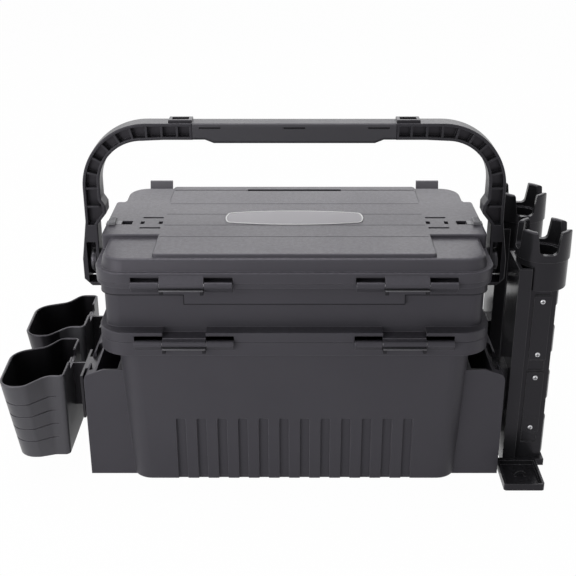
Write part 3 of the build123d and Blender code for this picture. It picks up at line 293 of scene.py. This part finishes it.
clipLook = dict(
    handleLook, dark=(0.07, 0.07, 0.074), light=(0.09, 0.09, 0.095), rubbedEdgeAndHighlight=(0.4, 0.4, 0.41), rough=0.2,
    grainDepth=0.05, shine=0.5,
)
bandLook = dict(handleLook, dark=(0.05, 0.05, 0.053), light=(0.07, 0.07, 0.074), rough=0.2, grainDepth=0.05, shine=0.6)
# near-black painted shade for slot floors, clip legs, screw slots and shadow lines
paintedShadeLook = dict(handleLook, dark=(0.004, 0.004, 0.004), light=(0.008, 0.008, 0.009), rubAndHighlight=0.0, dust=0.0, rough=0.7)
stopLook = dict(caseLook, dark=(0.2, 0.2, 0.21), light=(0.25, 0.25, 0.26), rubbedEdgeAndHighlight=(0.4, 0.4, 0.41), rough=0.35)
steelLook = {"dark": (0.5, 0.5, 0.52), "light": (0.62, 0.62, 0.64), "rough": 0.22, "pits": 900.0, "drift": 60.0}

casePlastic = mouldedPlastic("caseCharcoal", caseLook)
lidPlastic = mouldedPlastic("lidCharcoal", lidLook)
tabPaintedLightPlastic = mouldedPlastic("tabPaintedLight", tabPaintedLightLook)
clipPlastic = mouldedPlastic("clipBlack", clipLook)
handlePlastic = mouldedPlastic("handleBlack", handleLook, pocketShade)
gripPlastic = mouldedPlastic("gripBlack", gripLook)
holderPlastic = mouldedPlastic("holderCharcoal", holderLook, insideShade)
railPlastic = mouldedPlastic("railBlack", railLook)
standPlastic = mouldedPlastic("standBlack", standLook)
plaquePlastic = mouldedPlastic("plaqueGrey", plaqueLook)
plaqueLine = mouldedPlastic("plaqueWhite", plaqueLineLook)
paintedShadeBlack = mouldedPlastic("paintedShadeBlack", paintedShadeLook)
bandPlastic = mouldedPlastic("bandBlack", bandLook)
stopPlastic = mouldedPlastic("stopGrey", stopLook)
pinSteel = drawnSteel("pinSteel", steelLook)

finishes = {
    casePlastic: ("lower_box", "upper_tray", "tray_dividers", "tray_latch_left", "tray_latch_right"),
    lidPlastic: ("top_lid",),
    tabPaintedLightPlastic: ("lid_latch_left", "lid_latch_right"),
    stopPlastic: ("handle_stop_left", "handle_stop_right"),
    handlePlastic: ("handle_arm_left", "handle_arm_right", "handle_pivot_pins"),
    gripPlastic: ("handle_grip",),
    holderPlastic: ("tool_holder_near", "tool_holder_far"),
    railPlastic: ("holder_rail_near", "holder_rail_far"),
    standPlastic: tuple(name for name in nodes if name.startswith("rod_")),
    plaquePlastic: ("lid_plaque",),
    pinSteel: ("tray_hinge_pins", "lid_hinge_pins", "tray_latch_pins", "lid_latch_pins"),
}
for material, names in finishes.items():
    for name in names:
        nodes[name].data.materials.clear()
        nodes[name].data.materials.append(material)
print("finishes placed:", len(finishes))

# small pieces that ride on the bodies


def addBar(form, centre, size, rounding, tilt=None):
    bar = bmesh.new()
    bmesh.ops.create_cube(bar, size=1.0)
    bmesh.ops.scale(bar, vec=Vector(size), verts=bar.verts)
    bmesh.ops.bevel(bar, geom=bar.edges[:], offset=rounding, segments=3, profile=0.5, affect="EDGES")
    place = Matrix.Translation(Vector(centre))
    bmesh.ops.transform(bar, matrix=place @ tilt if tilt else place, verts=bar.verts)
    loose = bpy.data.meshes.new("loose")
    bar.to_mesh(loose)
    bar.free()
    form.from_mesh(loose)
    bpy.data.meshes.remove(loose)


def addTurned(form, profile, place, sides=24):
    # profile: (radius, height) pairs turned about Z, closed at both ends
    rings = []
    for radius, height in profile:
        ring = []
        for step in range(sides):
            angle = 2 * math.pi * step / sides
            ring.append(form.verts.new(place @ Vector((radius * math.cos(angle), radius * math.sin(angle), height))))
        rings.append(ring)
    for low, high in zip(rings, rings[1:]):
        for step in range(sides):
            after = (step + 1) % sides
            form.faces.new((low[step], low[after], high[after], high[step]))
    form.faces.new(rings[0][::-1])
    form.faces.new(rings[-1])


def addTube(form, points, radius, sides=8):
    # closed round bead along a level loop of points
    count = len(points)
    rings = []
    for index, point in enumerate(points):
        along = (points[(index + 1) % count] - points[index - 1]).normalized()
        across = along.cross(Vector((0, 0, 1))).normalized()
        ring = []
        for step in range(sides):
            angle = 2 * math.pi * step / sides
            offset = across * math.cos(angle) + Vector((0, 0, 1)) * math.sin(angle)
            ring.append(form.verts.new(point + offset * radius))
        rings.append(ring)
    for index in range(count):
        low, high = rings[index], rings[(index + 1) % count]
        for step in range(sides):
            after = (step + 1) % sides
            form.faces.new((low[step], high[step], high[after], low[after]))


def addStrip(form, path, rise, thickness):
    # upright flat strip along an open level path of (x, y, z)
    points = [Vector(point) for point in path]
    rings = []
    for index, point in enumerate(points):
        along = (points[min(index + 1, len(points) - 1)] - points[max(index - 1, 0)]).normalized()
        out = along.cross(Vector((0, 0, 1))) * thickness / 2
        up = Vector((0, 0, rise / 2))
        rings.append([form.verts.new(point + a * out + b * up) for a, b in ((-1, -1), (1, -1), (1, 1), (-1, 1))])
    for low, high in zip(rings, rings[1:]):
        for step in range(4):
            after = (step + 1) % 4
            form.faces.new((low[step], low[after], high[after], high[step]))
    form.faces.new(rings[0][::-1])
    form.faces.new(rings[-1])


sharpAngle = math.radians(40)


def finishPiece(name, form, material, body):
    bmesh.ops.recalc_face_normals(form, faces=form.faces[:])
    mesh = bpy.data.meshes.new(name)
    form.to_mesh(mesh)
    form.free()
    mesh.polygons.foreach_set("use_smooth", [True] * len(mesh.polygons))
    mesh.set_sharp_from_angle(angle=sharpAngle)
    mesh.materials.append(material)
    piece = bpy.data.objects.new(name, mesh)
    bpy.context.scene.collection.objects.link(piece)
    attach(piece, body)


outlineLimits = {"merge": 1e-6, "level": 1e-5, "upright": 0.99, "fewest": 12}


def topOutline(nodeName, spacing, inset):
    # outer edge of a node's upper face, evenly spaced and drawn in
    form = bmesh.new()
    form.from_mesh(nodes[nodeName].data)
    bmesh.ops.remove_doubles(form, verts=form.verts[:], dist=outlineLimits["merge"])
    top = max(vert.co.z for vert in form.verts)
    follow = {}
    for edge in form.edges:
        if min(vert.co.z for vert in edge.verts) < top - outlineLimits["level"]:
            continue
        rises = [face.normal.z > outlineLimits["upright"] for face in edge.link_faces]
        if len(rises) == 2 and rises[0] != rises[1]:
            for first, second in (edge.verts, reversed(edge.verts)):
                follow.setdefault(first, []).append(second)
    loops = []
    left = dict.fromkeys(follow)
    while left:
        walk = [left.popitem()[0]]
        while True:
            ahead = [vert for vert in follow[walk[-1]] if vert in left]
            if not ahead:
                break
            walk.append(ahead[0])
            del left[ahead[0]]
        loops.append([vert.co.copy() for vert in walk])
    form.free()
    loop = max(loops, key=lambda points: max(p.x for p in points) - min(p.x for p in points))
    lengths = [(loop[(i + 1) % len(loop)] - loop[i]).length for i in range(len(loop))]
    count = max(outlineLimits["fewest"], round(sum(lengths) / spacing))
    step = sum(lengths) / count
    even = []
    index, run = 0, 0.0
    for number in range(count):
        target = number * step
        while run + lengths[index] < target:
            run += lengths[index]
            index += 1
        share = (target - run) / lengths[index]
        even.append(loop[index].lerp(loop[(index + 1) % len(loop)], share))
    area = sum(a.x * b.y - b.x * a.y for a, b in zip(even, even[1:] + even[:1]))
    if area < 0:
        even.reverse()
    drawnIn = []
    for index, point in enumerate(even):
        along = (even[(index + 1) % count] - even[index - 1]).normalized()
        drawnIn.append(point + Vector((-along.y, along.x, 0)) * inset)
    return drawnIn


plaqueBorder = {"inset": 0.0011, "radius": 0.0009, "spacing": 0.002, "sink": 0.0004}
holderLip = {"radius": 0.0011, "inset": 0.0011, "spacing": 0.0025, "rise": 0.0002}
stopRib = {"count": 4, "pitch": 0.0034, "tabX": 0.1894, "size": (0.0054, 0.0014, 0.0009), "round": 0.0004}
latchRib = {
    "count": 3, "start": 0.0041, "pitch": 0.0034, "length": 0.021, "width": 0.0016, "proud": 0.0011,
    "round": 0.0005, "leanOut": 0.005, "leanHeight": 0.0156,
}
hingeClip = {
    "length": 0.043, "back": 0.1176, "front": 0.1262, "drop": 0.0043, "thickness": 0.0014, "leg": 0.0046,
    "legWidth": 0.0036, "legSetBack": 0.001, "round": 0.0005, "middleX": 0.109,
}
# seam: the body with the side knuckles, and the height of the hinge axis
hingeSeams = {"lid": ("tray", 0.22815), "tray": ("box", 0.1653)}
bandLine = {
    "face": 0.106, "reach": 0.1926, "corner": 0.019, "high": 0.2114, "low": 0.2014, "apron": 0.109,
    "rise": 0.0008, "thickness": 0.0003, "round": 0.0001, "sideEnd": -0.02, "arcSteps": 12,
}
panelScrew = {
    "radius": 0.0027, "height": 0.0013, "sink": 0.0003, "inset": 0.006, "slotLength": 0.0034, "slotWidth": 0.0007,
    "slotThickness": 0.0004, "slotRound": 0.00012, "axisX": 0.2518, "standY": {"near": -0.058, "far": 0.058},
    "panelReach": 0.0215, "panels": ((0.039, 0.111), (0.126, 0.198)),
    "domeShares": ((1.0, 0.35), (0.86, 0.72), (0.5, 0.95), (0.12, 1.0)),
}
lidSlot = {
    "thickness": 0.0004, "round": 0.00015, "lift": 0.0001, "lidTop": 0.2544, "middleY": -0.0166,
    "clipX": 0.149, "clipDepth": 0.0025, "longOffset": 0.0155, "longSlot": (0.0213, 0.0038),
    "squareOffset": 0.0095, "squareSlot": (0.004, 0.0078), "stopX": 0.1755, "stopDepth": 0.0044,
    "stopSlot": (0.0125, 0.0106), "fingerY": 0.092, "fingerDepth": 0.003, "fingerSlot": (0.1055, 0.0057),
}
gripSlot = {
    "places": (-0.0855, 0.0, 0.0855), "length": 0.0217, "thickness": 0.0004, "height": 0.0018, "round": 0.00015,
    "face": 0.0111, "level": 0.354,
}
pivotBand = {"width": 0.0024, "proud": 0.00018, "radius": 0.013, "inner": 0.0122, "outer": 0.2148, "sides": 48}
side = {"left": -1, "right": 1}


def buildPlaqueBorder(values):
    line = topOutline("lid_plaque", values["spacing"], values["inset"])
    form = bmesh.new()
    addTube(form, [point - Vector((0, 0, values["sink"])) for point in line], values["radius"])
    finishPiece("plaqueBorder", form, plaqueLine, "lid")


def buildHolderLips(values):
    for place in ("near", "far"):
        line = topOutline("tool_holder_" + place, values["spacing"], values["inset"])
        lift = Vector((0, 0, values["rise"] - values["radius"] / 2))
        form = bmesh.new()
        addTube(form, [point + lift for point in line], values["radius"])
        finishPiece("holderLip_" + place, form, holderPlastic, "holder_" + place)


def buildStopRibs(values):
    for hand, sign in side.items():
        low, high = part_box("handle_stop_" + hand)
        top = high[2]
        middleY = (low[1] + high[1]) / 2
        tabX = sign * values["tabX"]
        form = bmesh.new()
        for number in range(values["count"]):
            y = middleY + (number - (values["count"] - 1) / 2) * values["pitch"]
            addBar(form, (tabX, y, top), values["size"], values["round"])
        finishPiece("stopRibs_" + hand, form, stopPlastic, "stop_" + hand)


def buildLatchRibs(values):
    for layer in ("lid", "tray"):
        for hand in side:
            node = layer + "_latch_" + hand
            low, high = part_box(node)
            middleX = (low[0] + high[0]) / 2
            # the finger tab leans out over its upper part
            lean = math.atan2(values["leanOut"], values["leanHeight"])
            tilt = Matrix.Rotation(-lean, 4, "X")
            form = bmesh.new()
            for number in range(values["count"]):
                down = values["start"] + number * values["pitch"]
                centre = (middleX, high[1] - down * math.tan(lean), high[2] - down)
                size = (values["length"], 2 * values["proud"], values["width"])
                addBar(form, centre, size, values["round"], tilt)
            # the lid's tabs take the lighter grey of painted light
            material = tabPaintedLightPlastic if layer == "lid" else casePlastic
            finishPiece("latchRibs_" + layer + "_" + hand, form, material, node)


def buildHingeClips(values):
    # bent clip under each tongue, on the layer that carries the side knuckles
    for seam, (body, axisZ) in hingeSeams.items():
        strips, legs = bmesh.new(), bmesh.new()
        top = axisZ - values["drop"]
        depth = values["front"] - values["back"]
        middleY = -(values["front"] + values["back"]) / 2
        for sign in side.values():
            middleX = sign * values["middleX"]
            addBar(strips, (middleX, middleY, top), (values["length"], depth, values["thickness"]), values["round"])
            for end in (-1, 1):
                legX = middleX + end * (values["length"] - values["legWidth"]) / 2
                leg = (values["legWidth"], depth - values["legSetBack"], values["leg"])
                addBar(legs, (legX, middleY, top - values["leg"] / 2), leg, values["round"])
        finishPiece("hingeClips_" + seam, strips, clipPlastic, body)
        # painted shade: the legs are black to stand in for the shade under each clip
        finishPiece("clipLegs_" + seam, legs, paintedShadeBlack, body)


def buildBandLines(values):
    # shadow line along the lower edge of the tray's band and its apron
    face, reach, corner = values["face"], values["reach"], values["corner"]
    form = bmesh.new()
    for sign in side.values():
        arc = []
        for step in range(values["arcSteps"] + 1):
            angle = math.radians(90 * step / values["arcSteps"])
            x = reach - corner + corner * math.cos(angle)
            arc.append((sign * x, -(face - corner + corner * math.sin(angle)), values["high"]))
        start = (sign * reach, values["sideEnd"], values["high"])
        end = (sign * values["apron"], -face, values["high"])
        addStrip(form, [start] + arc + [end], values["rise"], values["thickness"])
        middleZ = (values["high"] + values["low"]) / 2
        tall = values["high"] - values["low"] + values["rise"]
        upright = (values["rise"], values["thickness"], tall)
        addBar(form, (sign * values["apron"], -face, middleZ), upright, values["round"])
    level = (2 * values["apron"], values["thickness"], values["rise"])
    addBar(form, (0, -face, values["low"]), level, values["round"])
    finishPiece("bandLines", form, paintedShadeBlack, "tray")


def buildPanelScrews(values):
    r, h = values["radius"], values["height"]
    dome = [(r, -values["sink"])] + [(across * r, up * h) for across, up in values["domeShares"]]
    turn = Matrix.Rotation(math.radians(90), 4, "X")
    cross = ((values["slotLength"], values["slotWidth"]), (values["slotWidth"], values["slotLength"]))
    for place, middleY in values["standY"].items():
        heads, slots = bmesh.new(), bmesh.new()
        face = middleY - values["panelReach"]
        for low, high in values["panels"]:
            for z in (low + values["inset"], high - values["inset"]):
                addTurned(heads, dome, Matrix.Translation(Vector((values["axisX"], face, z))) @ turn)
                # painted shade: black cross bars stand in for the shaded slots of the screw heads
                for wide, tall in cross:
                    slot = (wide, values["slotThickness"], tall)
                    addBar(slots, (values["axisX"], face - h, z), slot, values["slotRound"])
        finishPiece("panelScrews_" + place, heads, pinSteel, "rod_stand_" + place)
        finishPiece("screwSlots_" + place, slots, paintedShadeBlack, "rod_stand_" + place)


def buildLidSlotShades(values):
    # painted shade: black floors in the clip slots, stop slots and finger slot in the lid, standing in for their
    # shadow
    thin = values["thickness"]
    top = values["lidTop"] + values["lift"]
    form = bmesh.new()
    for sign in side.values():
        x = sign * values["clipX"]
        floor = top - values["clipDepth"]
        for across in (-1, 1):
            longY = values["middleY"] + across * values["longOffset"]
            addBar(form, (x, longY, floor), (*values["longSlot"], thin), values["round"])
        for across in (-1, 1):
            squareX = x + across * values["squareOffset"]
            addBar(form, (squareX, values["middleY"], floor), (*values["squareSlot"], thin), values["round"])
        stop = (sign * values["stopX"], values["middleY"], top - values["stopDepth"])
        addBar(form, stop, (*values["stopSlot"], thin), values["round"])
    finger = (0, values["fingerY"], top - values["fingerDepth"])
    addBar(form, finger, (*values["fingerSlot"], thin), values["round"])
    finishPiece("lidSlotShades", form, paintedShadeBlack, "lid")


def buildGripSlotShades(values):
    # painted shade: black floors in the slots in the grip, standing in for their shadow
    form = bmesh.new()
    for x in values["places"]:
        for sign in (-1, 1):
            size = (values["length"], values["thickness"], values["height"])
            addBar(form, (x, sign * values["face"], values["level"]), size, values["round"])
    finishPiece("gripSlotShades", form, paintedShadeBlack, "handle")


def buildPivotBands(values):
    low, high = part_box("handle_pivot_pins")
    pivotZ = (low[2] + high[2]) / 2
    turn = Matrix.Rotation(math.radians(90), 4, "Y")
    r, w = values["radius"] + values["proud"], values["width"]
    ring = [(values["inner"], -w / 2), (r, -w / 2), (r, w / 2), (values["inner"], w / 2)]
    form = bmesh.new()
    for sign in side.values():
        place = Vector((sign * values["outer"], 0, pivotZ))
        addTurned(form, ring, Matrix.Translation(place) @ turn, sides=values["sides"])
    finishPiece("pivotBands", form, bandPlastic, "lid")


buildPlaqueBorder(plaqueBorder)
buildHolderLips(holderLip)
buildStopRibs(stopRib)
buildLatchRibs(latchRib)
buildHingeClips(hingeClip)
buildBandLines(bandLine)
buildPanelScrews(panelScrew)
buildLidSlotShades(lidSlot)
buildGripSlotShades(gripSlot)
buildPivotBands(pivotBand)
print("small pieces placed")


# floor, light and camera
stageValues = {"floorSize": 12.0, "floorDrop": 0.0004, "floorWhite": 0.9, "ownLight": 0.985, "skyLight": 0.19}


def cameraSees(tree):
    path = tree.nodes.new("ShaderNodeLightPath")
    first = addMath(tree, "MAXIMUM", path.outputs["Is Camera Ray"], path.outputs["Is Glossy Ray"])
    return addMath(tree, "MAXIMUM", first, path.outputs["Is Transmission Ray"])


def buildStage(values):
    mesh = bpy.data.meshes.new("floor")
    form = bmesh.new()
    bmesh.ops.create_grid(form, x_segments=1, y_segments=1, size=values["floorSize"] / 2)
    form.to_mesh(mesh)
    form.free()
    floor = bpy.data.objects.new("floor", mesh)
    floor.location.z = -values["floorDrop"]
    bpy.context.scene.collection.objects.link(floor)
    paint = bpy.data.materials.new("floorWhite")
    paint.use_nodes = True
    tree = paint.node_tree
    shader = tree.nodes["Principled BSDF"]
    shader.inputs["Base Color"].default_value = (*[values["floorWhite"]] * 3, 1.0)
    shader.inputs["Roughness"].default_value = 1.0
    shader.inputs["Specular IOR Level"].default_value = 0.0
    glow = tree.nodes.new("ShaderNodeEmission")
    glow.inputs["Strength"].default_value = 1.0
    blend = tree.nodes.new("ShaderNodeMixShader")
    tree.links.new(addMath(tree, "MULTIPLY", cameraSees(tree), values["ownLight"]), blend.inputs[0])
    tree.links.new(shader.outputs[0], blend.inputs[1])
    tree.links.new(glow.outputs[0], blend.inputs[2])
    tree.links.new(blend.outputs[0], tree.nodes["Material Output"].inputs["Surface"])
    mesh.materials.append(paint)
    world = bpy.data.worlds.new("studio")
    world.use_nodes = True
    bpy.context.scene.world = world
    tree = world.node_tree
    sky = tree.nodes["Background"]
    seen = addMath(tree, "MULTIPLY", cameraSees(tree), 1.0 - values["skyLight"])
    tree.links.new(addMath(tree, "ADD", seen, values["skyLight"]), sky.inputs["Strength"])
    sky.inputs["Color"].default_value = (1.0, 1.0, 1.0, 1.0)


def addPanelLight(name, place, target, size, power):
    lamp = bpy.data.lights.new(name, "AREA")
    lamp.shape = "RECTANGLE"
    lamp.size, lamp.size_y = size
    lamp.energy = power
    light = bpy.data.objects.new(name, lamp)
    light.location = place
    light.rotation_euler = (Vector(target) - Vector(place)).to_track_quat("-Z", "Y").to_euler()
    bpy.context.scene.collection.objects.link(light)


cameraValues = {
    "place": (0.0, -1.040, 0.625), "pitch": 23.5, "lens": 65.0, "shift": -0.0111, "sensor": 36.0, "clipStart": 0.01,
}


def buildCamera(values):
    data = bpy.data.cameras.new("camera")
    data.sensor_width = values["sensor"]
    data.lens = values["lens"]
    data.shift_x = values["shift"]
    data.clip_start = values["clipStart"]
    camera = bpy.data.objects.new("camera", data)
    camera.location = values["place"]
    camera.rotation_euler = (math.radians(90.0 - values["pitch"]), 0.0, 0.0)
    bpy.context.scene.collection.objects.link(camera)
    bpy.context.scene.camera = camera


# name: place, target, size and power of each lamp
panelLights = {
    "topPanel": ((-0.25, 0.3, 1.6), (0, 0, 0.2), (1.6, 1.2), 16.5),
    "backPanel": ((0.0, 2.2, 1.25), (0, 0, 0.25), (2.4, 1.0), 9.0),
    "leftPanel": ((-0.8, -0.9, 0.45), (-0.2, 0, 0.12), (1.0, 0.8), 7.0),
    "frontPanel": ((0.2, -2.2, 1.0), (0, 0, 0.15), (1.2, 0.8), 0.6),
}
buildStage(stageValues)
for name, lampValues in panelLights.items():
    addPanelLight(name, *lampValues)
buildCamera(cameraValues)
bpy.context.scene.view_settings.view_transform = "Standard"
print("stage, light and camera set")
